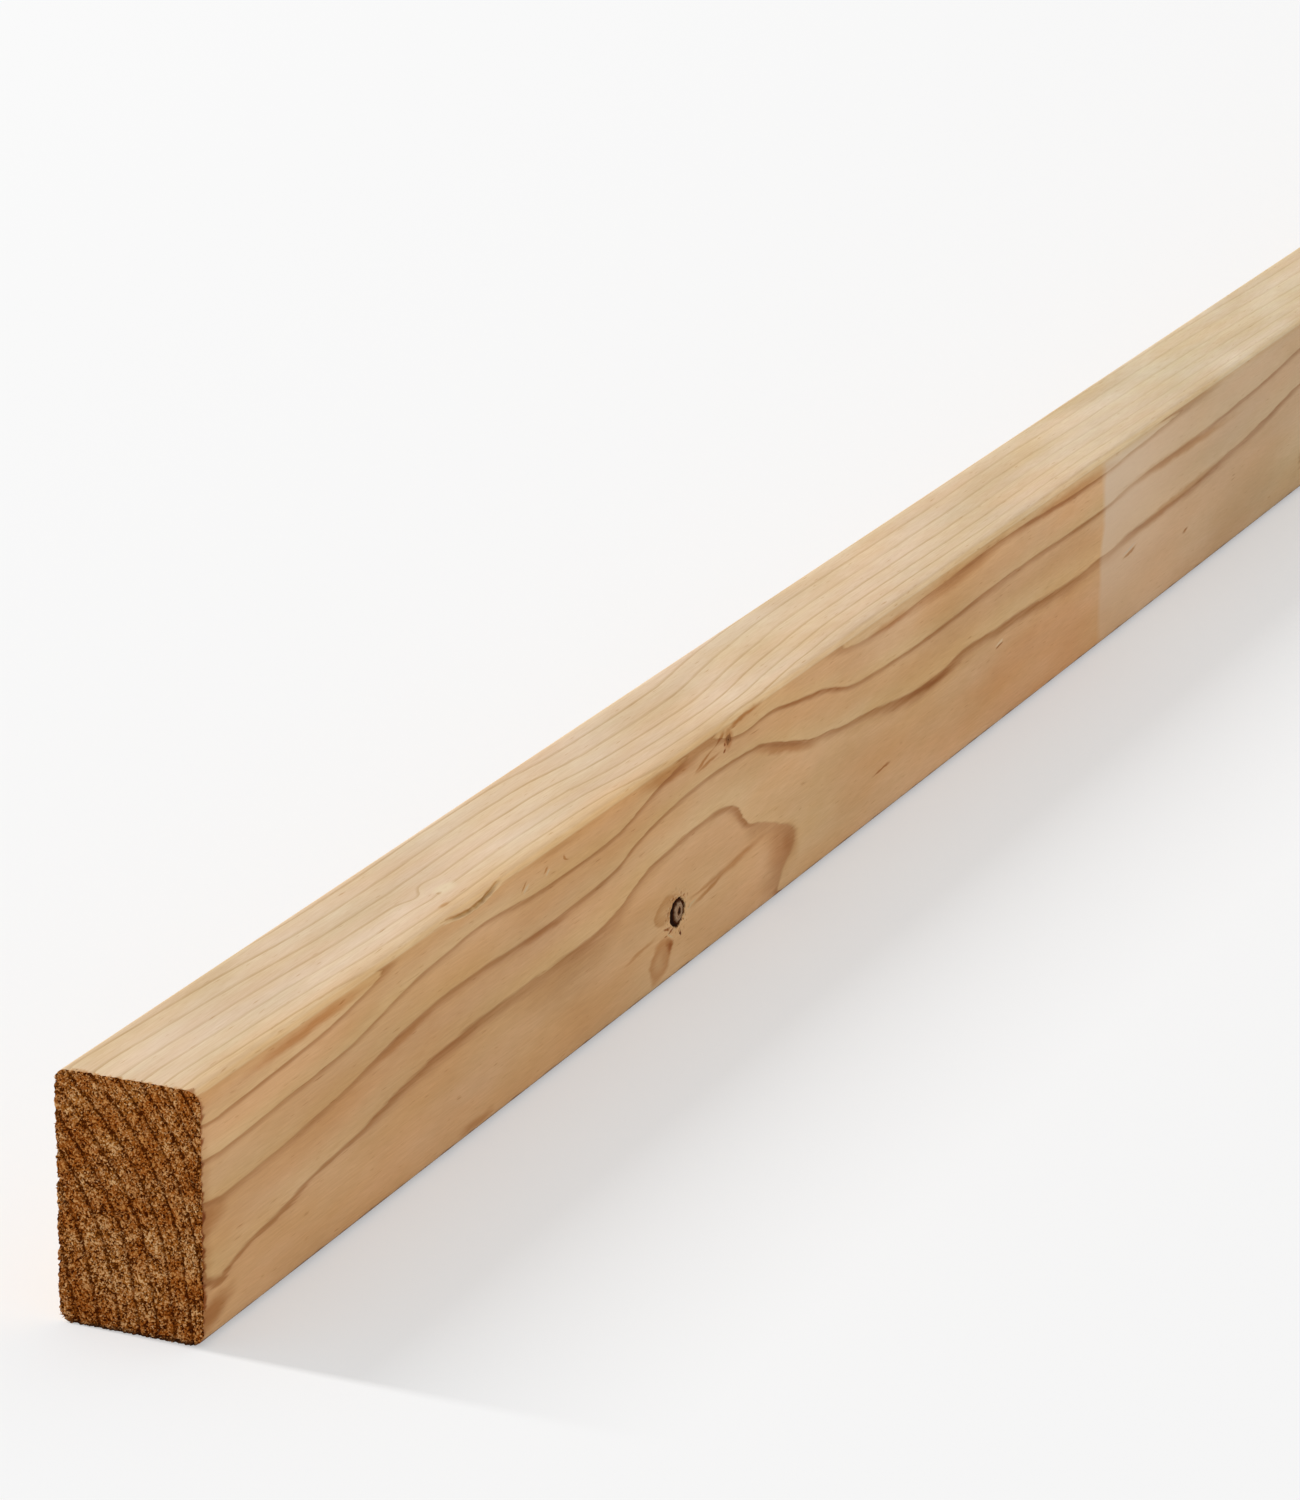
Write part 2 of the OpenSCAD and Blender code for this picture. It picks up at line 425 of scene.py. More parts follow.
def year_bands(tree, place, ring, colours):
    """Colour of the year rings: pale spring wood that turns rosy, then browns to a dark line."""
    # The lines are a little ragged, about 1 mm across the grain
    ragged = grain_noise(tree, place, (16, 1.3, 1.3), 3.0)
    ring = maths(tree, "MULTIPLY_ADD", ragged, 0.09, ring)
    year = maths(tree, "FLOOR", ring)
    season = maths(tree, "FRACT", ring)
    # Each year's band is wider and darker at some places along the plank than at others
    along = add(tree, "SeparateXYZ", {0: place}, output="X")
    steps = maths(tree, "MULTIPLY", along, 1 / BAND_STRETCH)
    years = maths(tree, "MULTIPLY", year, 5.3)
    stretch = add(tree, "CombineXYZ", {0: steps, 1: years})
    change = add(tree, "TexNoise", {"Vector": stretch, "Scale": 1.0, "Detail": 1.0}, output="Color")
    change = add(tree, "SeparateXYZ", {0: change}).node
    band = [mapped(tree, output, 0.3, 0.7, least, most)
            for output, (least, most) in zip(change.outputs, BAND_RANGES)]
    band.append(LINE_START)
    for centre, reach, values in BAND_CHANGES:
        spot = ellipse_reach(tree, place, centre, reach)
        spot = mapped(tree, spot, 1.0, 0.6, smooth=True)
        band = [add(tree, "Mix", {0: spot, 2: old, 3: new}) for old, new in zip(band, values)]
    start, depth, weight, line_start = band
    # The lines on the narrow faces are faint on a long stretch
    share = maths(tree, "MULTIPLY", along, 1 / LENGTH)
    faint = add(tree, "FloatCurve", {"Value": share}, points=[
        (mm / LENGTH, weight_share) for mm, weight_share in FAINT_LINES])
    # The narrow faces are paler than the wide ones, and cut each band so steeply that only its line shows
    normal = add(tree, "TexCoord", output="Normal")
    upright = add(tree, "SeparateXYZ", {0: normal}, output="Z")
    tilt = maths(tree, "ABSOLUTE", upright)
    narrow = mapped(tree, tilt, 0.58, 0.70, smooth=True)
    hanging = add(tree, "Attribute", output="Fac", attribute_name="lip")
    narrow = maths(tree, "MAXIMUM", narrow, hanging)
    wide = maths(tree, "MULTIPLY_ADD", narrow, -0.8, 1.0)
    faint = add(tree, "Mix", {0: narrow, 2: 1.0, 3: faint})
    weight = maths(tree, "MULTIPLY", weight, faint)
    band = mapped(tree, season, start, LINE_END, smooth=True)
    band = maths(tree, "MULTIPLY", band, depth)
    band = maths(tree, "MULTIPLY", band, wide)
    line = mapped(tree, season, line_start, LINE_END, smooth=True)
    line = maths(tree, "MULTIPLY", line, weight)
    late = maths(tree, "MAXIMUM", band, line)
    # The line fades over half a millimetre or so into next year's wood
    after = mapped(tree, season, high=0.045, bottom=1.0, top=0.0, smooth=True)
    after = maths(tree, "MULTIPLY", after, weight)
    late = maths(tree, "MAXIMUM", late, after)
    # Late wood is streaked along the grain, 25 mm by 0.8 mm
    streaks = grain_noise(tree, place, (25, 0.8, 0.8), 2.0)
    streaks = mapped(tree, streaks, 0.3, 0.7, 0.78, 1.08)
    late = maths(tree, "MULTIPLY", late, streaks)
    tones = []
    for wide, edge in ((colours.early_wide, colours.early_edge), (colours.mid_wide, colours.mid_edge),
                       (colours.late_wide, colours.late_edge)):
        tones.append(mixed(tree, narrow, wide, edge))
    rosy = mapped(tree, season, high=0.6, smooth=True)
    # Painted highlight on the arris, pale yellow where it turns into a narrow face
    lip = mapped(tree, tilt, 0.998, 0.8, top=0.75, smooth=True)
    lip = maths(tree, "MULTIPLY", lip, narrow)
    colour = tones[0]
    for share, tone in ((rosy, tones[1]), (late, tones[2]), (lip, linear("#FFE2B8"))):
        colour = mixed(tree, share, colour, tone)
    return colour, late


def fibre_streaks(tree, place, colour):
    """Adds the fibres, canals and mottling of the planed faces, and returns the colour and the height."""
    # Wood fibres are 0.03 mm wide. They are drawn 0.5 mm wide, so that they show.
    fibres = grain_noise(tree, place, (9, 0.5, 0.5), 3.0, roughness=0.6)
    # Resin canals are thinner than they are drawn, as short dark dashes, 7 mm long
    canals = grain_noise(tree, place, (7, 0.7, 0.7), 1.0)
    # Yellower, greener and darker wood in patches 70 mm long and 16 mm wide
    patches = grain_noise(tree, place, (70, 16, 16), 3.0, output="Color")
    patches = add(tree, "SeparateXYZ", {0: patches}).node.outputs
    # Each pattern with the values where its tint starts and where it is full
    for pattern, start, full, tint in (
            (fibres, 0.3, 0.7, "#F3EEE8"), (canals, 0.68, 0.82, "#E4D3C0"),
            (patches[0], 0.35, 0.65, "#FFF6EA"), (patches[1], 0.35, 0.65, "#F7F5EA"),
            (patches[2], 0.35, 0.65, "#F3EFE9")):
        share = mapped(tree, pattern, start, full)
        colour = mixed(tree, share, colour, linear(tint), "MULTIPLY")
    return colour, fibres


def bleached(tree, place, late, colour, colours):
    """Bleaches a stretch of the wide face, which starts with an edge across the grain."""
    split = add(tree, "SeparateXYZ", {0: place}).node
    sway = add(tree, "TexNoise", {"Vector": place, "Scale": 0.06, "Detail": 1.0})
    start = maths(tree, "MULTIPLY_ADD", sway, 10.0, split.outputs["X"])
    share = mapped(tree, start, BLEACH_START, BLEACH_END)
    share = add(tree, "ValToRGB", {"Fac": share}, stops=(
        (0.0, 0), (0.04, 0.58), (0.35, 0.5), (1.0, 0.22)))
    # It ends at the arrises and is paler higher up, and late wood keeps most of its brown
    outside = mapped(tree, split.outputs["Y"], WIDE_FACE + 1, WIDE_FACE + 0.05)
    higher = mapped(tree, split.outputs["Z"], 4, 50, 0.5, 1.3)
    between = maths(tree, "MULTIPLY_ADD", late, -0.7, 1.0)
    for part in (outside, higher, between):
        share = maths(tree, "MULTIPLY", share, part)
    return mixed(tree, share, colour, colours.pale_wood)


def shaken(tree, place, size, reach):
    """Moves a place to and fro by up to about half the reach, with noise of the given size, both in mm."""
    tremble = grain_noise(tree, place, size, 2.0, output="Color")
    shift = vectors(tree, "MULTIPLY_ADD", tremble, [2 * mm for mm in reach], [-mm for mm in reach])
    return vectors(tree, "ADD", place, shift)


def stained(tree, place, colour, stains, blend):
    """Lays stains over a colour, each an ellipse with soft, uneven edges."""
    place = shaken(tree, place, (9, 2.5, 2.5), (3.0, 0.6, 0.9))
    for stain in stains:
        turn = 0, -math.radians(stain.rise), 0
        far = ellipse_reach(tree, place, stain.centre, stain.reach, turn)
        mask = add(tree, "ValToRGB", {"Fac": far}, stops=(
            (0.0, stain.middle), (stain.full, 1), (1.0, 0)))
        mask.node.color_ramp.interpolation = "EASE"
        colour = mixed(tree, mask, colour, linear(stain.tint), blend)
    return colour


def knot_reach(tree, place, centre, half, lean):
    """Distance from the middle line of a branch, where 1 is its rim."""
    return ellipse_reach(tree, place, centre, (half[0], ENDLESS, half[1]), (math.radians(lean), 0, 0))


def knotted(tree, place, colour, colours):
    """Lays the knots over a colour, and returns the colour and where the knots are."""
    torn = shaken(tree, place, (1.4, 1.4, 1.4), (0.8, 0.8, 0.8))
    dark = 0.0
    for centre, half, lean in SOUND_KNOTS:
        far = knot_reach(tree, torn, centre, half, lean)
        halo = mapped(tree, far, 2.6, 1.0, top=0.8, smooth=True)
        colour = mixed(tree, halo, colour, linear("#DDBB98"), "MULTIPLY")
        wood = add(tree, "ValToRGB", {"Fac": far}, stops=(
            (0.0, linear("#4E2A12")), (0.2, linear("#663A1A")), (0.34, colours.sound_knot),
            (0.52, linear("#86532B")), (0.66, colours.sound_knot), (0.9, linear("#7A4824")),
            (1.0, linear("#5E381C"))))
        mask = mapped(tree, far, 1.2, 0.75)
        colour = mixed(tree, mask, colour, wood)
        dark = maths(tree, "MAXIMUM", mask, dark)
    # Dead knot: specks and pale torn fibres round it, then bark, then bare grey wood
    far = knot_reach(tree, torn, *DEAD_KNOT, KNOT_LEAN)
    near = mapped(tree, far, 2.0, 1.1)
    for scale, offset, tint, blend in ((0.9, 0, "#C49E78", "MULTIPLY"), (1.1, 40, "#DDBC90", "MIX")):
        moved = vectors(tree, "ADD", place, (offset,) * 3)
        speck = add(tree, "TexNoise", {"Vector": moved, "Scale": scale, "Detail": 1.0})
        speck = mapped(tree, speck, 0.56, 0.70)
        speck = maths(tree, "MULTIPLY", speck, near)
        colour = mixed(tree, speck, colour, linear(tint), blend)
    # The bark is black where it is thick, and brown where little of it is left
    heart = knot_reach(tree, torn, *DEAD_HEART, KNOT_LEAN)
    thick = mapped(tree, heart, 1.0, 1.3)
    rind = mixed(tree, thick, linear("#4E260C"), colours.bark)
    bark = mapped(tree, far, 1.06, 0.94)
    colour = mixed(tree, bark, colour, rind)
    wood = add(tree, "ValToRGB", {"Fac": heart}, stops=(
        (0.0, linear("#1E0B02")), (0.26, linear("#321806")), (0.38, linear("#805836")),
        (0.5, linear("#B6967A")), (0.62, linear("#8E6C4C")), (0.74, linear("#B89879")),
        (1.0, linear("#4C2C14"))))
    mask = mapped(tree, heart, 1.08, 0.95)
    colour = mixed(tree, mask, colour, wood)
    return colour, maths(tree, "MAXIMUM", bark, dark)


def planed_softwood(colours, rings):
    """Planed spruce: a matt, close surface whose year rings show as soft bands that end in a dark line."""
    material = new_material("planed_softwood")
    tree = material.node_tree
    grain = add(tree, "Group", node_tree=rings).node
    place = grain.outputs["Place"]
    colour, late = year_bands(tree, place, grain.outputs["Ring"], colours)
    colour, fibres = fibre_streaks(tree, place, colour)
    colour = bleached(tree, place, late, colour, colours)
    colour = stained(tree, place, colour, STAINS, "MULTIPLY")
    colour = stained(tree, place, colour, PALE_STAINS, "MIX")
    colour, knots = knotted(tree, place, colour, colours)
    # The torn hollow under the lip is darkened: painted shade, with the olive tone of the torn wood
    torn = add(tree, "Attribute", output="Fac", attribute_name="torn")
    colour = mixed(tree, torn, colour, linear("#D2C6A4"), "MULTIPLY")
    bump = add(tree, "Bump", {"Strength": 0.25, "Distance": 0.15 * MM, "Height": fibres})
    # Planing leaves a faint sheen, which the dry knots don't have
    roughness = mapped(tree, knots, bottom=0.65, top=1.0)
    shader = add(tree, "BsdfPrincipled", {
        "Base Color": colour, "Roughness": roughness, "IOR": 1.5, "Specular IOR Level": 0.07, "Normal": bump})
    add(tree, "OutputMaterial", {"Surface": shader})
    return material


def sawn_end_grain(colours, rings):
    """Sawn end grain: dark, crumbly and matt, with pale broken tips and deep pits between the fibres."""
    material = new_material("sawn_end_grain")
    tree = material.node_tree
    grain = add(tree, "Group", node_tree=rings).node
    relief = add(tree, "Attribute", output="Fac", attribute_name="relief")
    # Grit of broken cells, 0.4 mm across, each bundle with its own shade, and painted shade in the gap round
    # it
    grit = add(tree, "TexVoronoi", {"Vector": grain.outputs["Place"], "Scale": 1 / 0.4}).node
    shade = add(tree, "SeparateXYZ", {0: grit.outputs["Color"]})
    height = maths(tree, "MULTIPLY_ADD", shade, 0.98, -0.195)
    height = maths(tree, "MULTIPLY_ADD", grit.outputs["Distance"], -0.55, height)
    height = maths(tree, "MULTIPLY_ADD", relief, 0.85, height)
    # The colour follows the height: pits get painted shade, and raised tips a paler tone, partly the broken
    # wood and partly painted highlight
    colour = add(tree, "ValToRGB", {"Fac": height}, stops=(
        (0.08, colours.end_pit), (0.36, colours.end_wood), (0.5, colours.end_wood), (0.85, colours.end_tip)))
    # Broad changes of hue, 9 mm across
    hue = add(tree, "TexNoise", {"Vector": grain.outputs["Place"], "Scale": 1 / 9, "Detail": 2.0})
    hue = mapped(tree, hue, 0.4, 0.6)
    # Grooves are darker than the pits between the crumbs: dark late wood, with painted shade in the groove
    groove = late_groove(tree, grain.outputs["Place"], grain.outputs["Ring"])
    groove = maths(tree, "MULTIPLY", groove, 0.5)
    # Painted shade along the lowest millimetre, where the end stands on the floor
    low = add(tree, "SeparateXYZ", {0: grain.outputs["Place"]}, output="Z")
    low = mapped(tree, low, 1.3, 0.4, top=0.9)
    for share, tint, blend in ((hue, linear("#E2C59C"), "MULTIPLY"), (groove, colours.end_pit, "MIX"),
                               (low, linear("#3A2010"), "MIX")):
        colour = mixed(tree, share, colour, tint, blend)
    bump = add(tree, "Bump", {"Strength": 0.8, "Distance": 0.3 * MM, "Height": height})
    shader = add(tree, "BsdfPrincipled", {
        "Base Color": colour, "Roughness": 0.9, "IOR": 1.5, "Specular IOR Level": 0.03, "Normal": bump})
    add(tree, "OutputMaterial", {"Surface": shader})
    return material


def torn_fibres(colours):
    """Broken fibres: pale, dry splinters that catch the light, each with its own shade."""
    material = new_material("torn_fibres")
    tree = material.node_tree
    coords = add(tree, "TexCoord", output="Object")
    cells = add(tree, "TexVoronoi", {"Vector": coords, "Scale": 1 / (0.9 * MM)}, output="Color")
    shade = add(tree, "SeparateXYZ", {0: cells})
    colour = add(tree, "ValToRGB", {"Fac": shade}, stops=(
        (0.0, colours.end_pit), (0.4, colours.end_wood), (1.0, colours.end_tip)))
    shader = add(tree, "BsdfPrincipled", {
        "Base Color": colour, "Roughness": 0.8, "IOR": 1.5, "Specular IOR Level": 0.25})
    add(tree, "OutputMaterial", {"Surface": shader})
    return material


def side_profile(half, radius, arc_steps, flat_steps):
    """One side of the planed outline, corner to corner: places along it, and how far each lies inside."""
    straight = half - radius
    turns = [math.pi / 4 * (1 - i / arc_steps) for i in range(arc_steps)]
    arc = [(straight + radius * math.sin(a), radius * (1 - math.cos(a))) for a in turns]
    flat = [(straight * (1 - 2 * i / flat_steps), 0.0) for i in range(flat_steps + 1)]
    return [(-x, d) for x, d in arc] + [(-x, d) for x, d in flat] + [(x, d) for x, d in reversed(arc)]


def refine(bm, low, high, cuts):
    """Cuts the faces inside a box, given in mm along, across and up, into finer ones."""
    low, high = [Vector(((c[0] - LENGTH / 2) * MM, c[1] * MM, c[2] * MM)) for c in (low, high)]
    edges = set()
    for face in bm.faces:
        middle = face.calc_center_median()
        if all(low[k] <= middle[k] <= high[k] for k in range(3)):
            edges.update(face.edges)
    bmesh.ops.subdivide_edges(bm, edges=list(edges), cuts=cuts, use_grid_fill=True, use_single_edge=True)


def smooth_step(low, high, value):
    """Eases from 0 at low to 1 at high."""
    share = min(max((value - low) / (high - low), 0), 1)
    return share * share * (3 - 2 * share)


def tear(along, y, z, radius):
    """Depth share, share of the lip above it and inward direction of the torn arris at a point, in mm."""
    mid_y, mid_z = WIDE_FACE + radius, TOP - radius
    if y > mid_y or z < mid_z - 4:
        return 0.0, 0.0, None
    turn = math.atan2(mid_y - y, max(z - mid_z, 0))
    down = (turn - math.pi / 4) * radius + max(mid_z - z, 0)
    ragged = noise.noise(Vector((along / 3, down / 1.5, 4)))
    # The top lip bows down in the middle of the tear and rises past its end
    bow = math.exp(-((along - LIP_MIDDLE) / 11) ** 2)
    lip = -0.9 + 1.5 * bow - smooth_step(TEAR_SHALLOW, TEAR_END + 4, along) + 0.25 * ragged
    share = smooth_step(TEAR_START, TEAR_DEEP, along) * (1 - smooth_step(TEAR_SHALLOW, TEAR_END, along))
    hanging = smooth_step(0, 0.2, share) * (1 - smooth_step(lip - 0.1, lip + 0.2, down))
    share *= smooth_step(lip, lip + 0.4, down) * (1 - smooth_step(lip + 0.5, lip + 1.8, down))
    share *= 1 + 0.35 * ragged
    return share, hanging, Vector((0, math.sin(turn), -math.cos(turn)))


def carve(bm, shape):
    """Tears the arris and sinks the bark of the dead knot, and keeps how far each point is torn."""
    torn = bm.verts.layers.float.new("torn")
    lip = bm.verts.layers.float.new("lip")
    radius = shape.arris_radius / MM
    centre, half = DEAD_KNOT
    heart, heart_half = DEAD_HEART
    for vert in bm.verts:
        along, y, z = vert.co.x / MM + LENGTH / 2, vert.co.y / MM, vert.co.z / MM
        if TEAR_START < along < TEAR_END:
            share, vert[lip], inward = tear(along, y, z, radius)
            if share > 0:
                vert[torn] = share
                vert.co += inward * (share * shape.tear_depth)
        if abs(along - centre[0]) < 8 and y < WIDE_FACE + 0.01:
            outer = math.hypot((along - centre[0]) / half[0], (z - centre[2]) / half[1])
            inner = math.hypot((along - heart[0]) / heart_half[0], (z - heart[2]) / heart_half[1])
            ragged = 0.12 * noise.noise(Vector((along, z, 0)))
            # The bark is sunk to its full depth, and the heart to a third of it
            bare = 0.35 + 0.65 * smooth_step(0.8, 1.05, inner + ragged)
            sunk = smooth_step(1.05, 0.85, outer + ragged) * bare
            vert.co.y += sunk * shape.bark_depth


def timber_mesh(shape):
    """Closed mesh of the plank: rows of the planed outline, and a fine grid on each sawn end."""
    arc_steps, y_steps, z_steps = 3, 12, 22
    half_y, half_z = (HIGH.y - LOW.y) / 2, (HIGH.z - LOW.z) / 2
    y_side = side_profile(half_y, shape.arris_radius, arc_steps, y_steps)
    z_side = side_profile(half_z, shape.arris_radius, arc_steps, z_steps)
    last_y, last_z = len(y_side) - 1, len(z_side) - 1
    y_corner, z_corner = y_side[-1][0], z_side[-1][0]
    mid = (LOW + HIGH) / 2

    def point(x, i, j):
        y = y_side[i][0] / y_corner * (half_y - z_side[j][1])
        z = z_side[j][0] / z_corner * (half_z - y_side[i][1])
        return Vector((x, mid.y + y, mid.z + z))

    rim = [(i, 0) for i in range(last_y)] + [(last_y, j) for j in range(last_z)]
    rim += [(i, last_z) for i in range(last_y, 0, -1)] + [(0, j) for j in range(last_z, 0, -1)]
    # Rows in mm along the plank, closer at the ends, the torn arris and the dead knot
    places = {0, 2.6, 7, LENGTH - 7, LENGTH - 2.6, LENGTH}
    places.update(range(20, round(LENGTH), 20))
    places.update(range(120, 180, 2))
    places.update(range(262, 286, 2))
    rows = [LOW.x + place * MM for place in sorted(places)]
    bm = bmesh.new()
    loops = [[bm.verts.new(point(x, i, j)) for i, j in rim] for x in rows]
    for lower, upper in zip(loops, loops[1:]):
        for k in range(len(rim)):
            n = (k + 1) % len(rim)
            bm.faces.new((lower[k], lower[n], upper[n], upper[k]))
    sawn = []
    for x, loop in ((rows[0], loops[0]), (rows[-1], loops[-1])):
        grid = dict(zip(rim, loop))
        for i in range(1, last_y):
            for j in range(1, last_z):
                grid[i, j] = bm.verts.new(point(x, i, j))
        for i in range(last_y):
            for j in range(last_z):
                sawn.append(bm.faces.new((grid[i, j], grid[i + 1, j], grid[i + 1, j + 1], grid[i, j + 1])))
    bmesh.ops.recalc_face_normals(bm, faces=bm.faces)
    for face in bm.faces:
        face.smooth = True
    for face in sawn:
        face.material_index = 1
    edges = {e for f in sawn for e in f.edges}
    for loop in (loops[1], loops[-2]):
        edges |= {bm.edges.get((loop[k], loop[(k + 1) % len(loop)])) for k in range(len(loop))}
    bmesh.ops.subdivide_edges(bm, edges=list(edges), cuts=7, use_grid_fill=True, use_single_edge=True)
    # Finer faces round the torn arris and the dead knot
    refine(bm, (TEAR_START - 4, -20, 54), (TEAR_END + 4, -14, 64), 3)
    refine(bm, (264, -20, 10), (282, -18.9, 28), 5)
    carve(bm, shape)
    for edge in bm.edges:
        kinds = {f.material_index for f in edge.link_faces}
        edge.smooth = len(kinds) == 1
    # How far each point belongs to a sawn end, and the way out of the plank for those near its rim
    ends = bm.verts.layers.float.new("sawn")
    outward = bm.verts.layers.float_vector.new("outward")
    core = Vector((half_y - shape.arris_radius, half_z - shape.arris_radius))
    for face in bm.faces:
        if face.material_index == 1:
            for vert in face.verts:
                vert[ends] = 1.0
    for vert in bm.verts:
        if vert[ends] == 0:
            continue
        away = Vector((vert.co.y - mid.y, vert.co.z - mid.z))
        past = Vector((max(abs(away.x) - core.x, 0), max(abs(away.y) - core.y, 0)))
        if past.length == 0:
            continue
        inside = (shape.arris_radius - past.length) / MM
        past = past.normalized() * (1 - smooth_step(0, RIM_WIDTH, inside))
        vert[outward] = (0, math.copysign(past.x, away.x), math.copysign(past.y, away.y))
    mesh = bpy.data.meshes.new("plank_timber")
    bm.to_mesh(mesh)
    bm.free()
    return mesh


def node_tree(name, inputs):
    """A Geometry Nodes tree with a mesh in, named inputs and a mesh out."""
    tree = bpy.data.node_groups.new(name, "GeometryNodeTree")
    tree.is_modifier = True
    tree.interface.new_socket("Geometry", in_out="INPUT", socket_type="NodeSocketGeometry")
    for label, value in inputs.items():
        kind = "NodeSocketInt" if isinstance(value, int) else "NodeSocketFloat"
        tree.interface.new_socket(label, in_out="INPUT", socket_type=kind).default_value = value
    tree.interface.new_socket("Geometry", in_out="OUTPUT", socket_type="NodeSocketGeometry")
    return tree


def rough_sawing(materials):
    """Node tree that roughens the sawn ends and keeps the relief for the end grain's colour."""
    tree = node_tree("rough_sawing", {
        "Saw Depth": 1.0 * MM, "Crumb Size": 0.6 * MM, "Rim Wear": 0.4 * MM, "Seed": 3.0})
    given = add(tree, "NodeGroupInput").node
    position = add(tree, "GeometryNodeInputPosition")
    split = add(tree, "SeparateXYZ", {0: position}).node
    sawn = add(tree, "GeometryNodeInputNamedAttribute", {"Name": "sawn"}, data_type="FLOAT")
    side = maths(tree, "SIGN", split.outputs["X"])
    # Crumbs are longer along the rings than across them, so they are laid out round the pith
    across = maths(tree, "SUBTRACT", END_PITH[0] * MM, split.outputs["Y"])
    above = maths(tree, "SUBTRACT", split.outputs["Z"], END_PITH[1] * MM)
    spoke = add(tree, "CombineXYZ", {0: across, 1: above})
    radius = vectors(tree, "LENGTH", spoke, output="Value")
    angle = maths(tree, "ARCTAN2", above, across)
    arc = maths(tree, "MULTIPLY", angle, END_RADIUS * MM)
    seed = maths(tree, "MULTIPLY_ADD", side, 1.0, given.outputs["Seed"])
    polar = add(tree, "CombineXYZ", {0: radius, 1: arc})
    polar = vectors(tree, "DIVIDE", polar, given.outputs["Crumb Size"])
    crumbs = add(tree, "TexVoronoi", {"Vector": polar, "W": seed, "Scale": 1.0},
                 voronoi_dimensions="4D").node
    height = add(tree, "SeparateXYZ", {0: crumbs.outputs["Color"]})
    dome = maths(tree, "SUBTRACT", 0.9, crumbs.outputs["Distance"])
    clumps = add(tree, "TexNoise", {"Vector": polar, "W": seed, "Scale": 0.3, "Detail": 3.0},
                 noise_dimensions="4D")
    clumps = maths(tree, "SUBTRACT", clumps, 0.5)
    relief = -0.5
    for part, weight in ((height, 0.6), (dome, 0.45), (clumps, 1.0)):
        relief = maths(tree, "MULTIPLY_ADD", part, weight, relief)
    # The saw tore the lower half more than the upper, and late wood broke away in grooves
    torn = mapped(tree, split.outputs["Z"], 55 * MM, 25 * MM, 0.7, 1.1)
    relief = maths(tree, "MULTIPLY_ADD", relief, torn, 0.54)
    groove = late_groove(tree, *year_ring(tree, position))
    relief = maths(tree, "MULTIPLY_ADD", groove, -0.4, relief, use_clamp=True)
    stored = add(tree, "GeometryNodeStoreNamedAttribute",
                 {"Geometry": given.outputs["Geometry"], "Name": "relief", "Value": relief})
    # Broken rims, in notches some 3 mm long
    outward = add(tree, "GeometryNodeInputNamedAttribute", {"Name": "outward"}, data_type="FLOAT_VECTOR")
    notches = add(tree, "TexNoise", {
        "Vector": position, "W": seed, "Scale": 1 / (3 * MM), "Detail": 3.0}, noise_dimensions="4D")
    notches = mapped(tree, notches, 0.5, 0.75)
    rough = maths(tree, "SUBTRACT", 1.0, relief)
    wear = maths(tree, "MULTIPLY_ADD", rough, 0.3, notches)
    wear = maths(tree, "MULTIPLY", wear, given.outputs["Rim Wear"])
    # The rim is nearly whole near the floor
    raised = mapped(tree, split.outputs["Z"], high=5 * MM, bottom=0.15)
    wear = maths(tree, "MULTIPLY", wear, raised)
    inward = maths(tree, "MULTIPLY", wear, -1.0)
    broken = add(tree, "VectorMath", {0: outward, "Scale": inward}, operation="SCALE")
    edge = vectors(tree, "LENGTH", outward, output="Value")
    edge = maths(tree, "MULTIPLY", edge, wear)
    depth = maths(tree, "MULTIPLY_ADD", rough, given.outputs["Saw Depth"], edge)
    for part in (sawn, side, -1.0):
        depth = maths(tree, "MULTIPLY", depth, part)
    sink = add(tree, "CombineXYZ", {0: depth})
    shift = vectors(tree, "ADD", broken, sink)
    moved = add(tree, "GeometryNodeSetPosition", {"Geometry": stored, "Offset": shift})
    whole = add(tree, "GeometryNodeRealizeInstances", {"Geometry": moved})
    faces = add(tree, "GeometryNodeSetMaterial", {"Geometry": whole, "Material": materials[0]})
    at_end = maths(tree, "GREATER_THAN", sawn, SAWN_SHARE)
    ends = add(tree, "GeometryNodeSetMaterial", {
        "Geometry": faces, "Selection": at_end, "Material": materials[1]})
    add(tree, "NodeGroupOutput", {"Geometry": ends})
    return tree


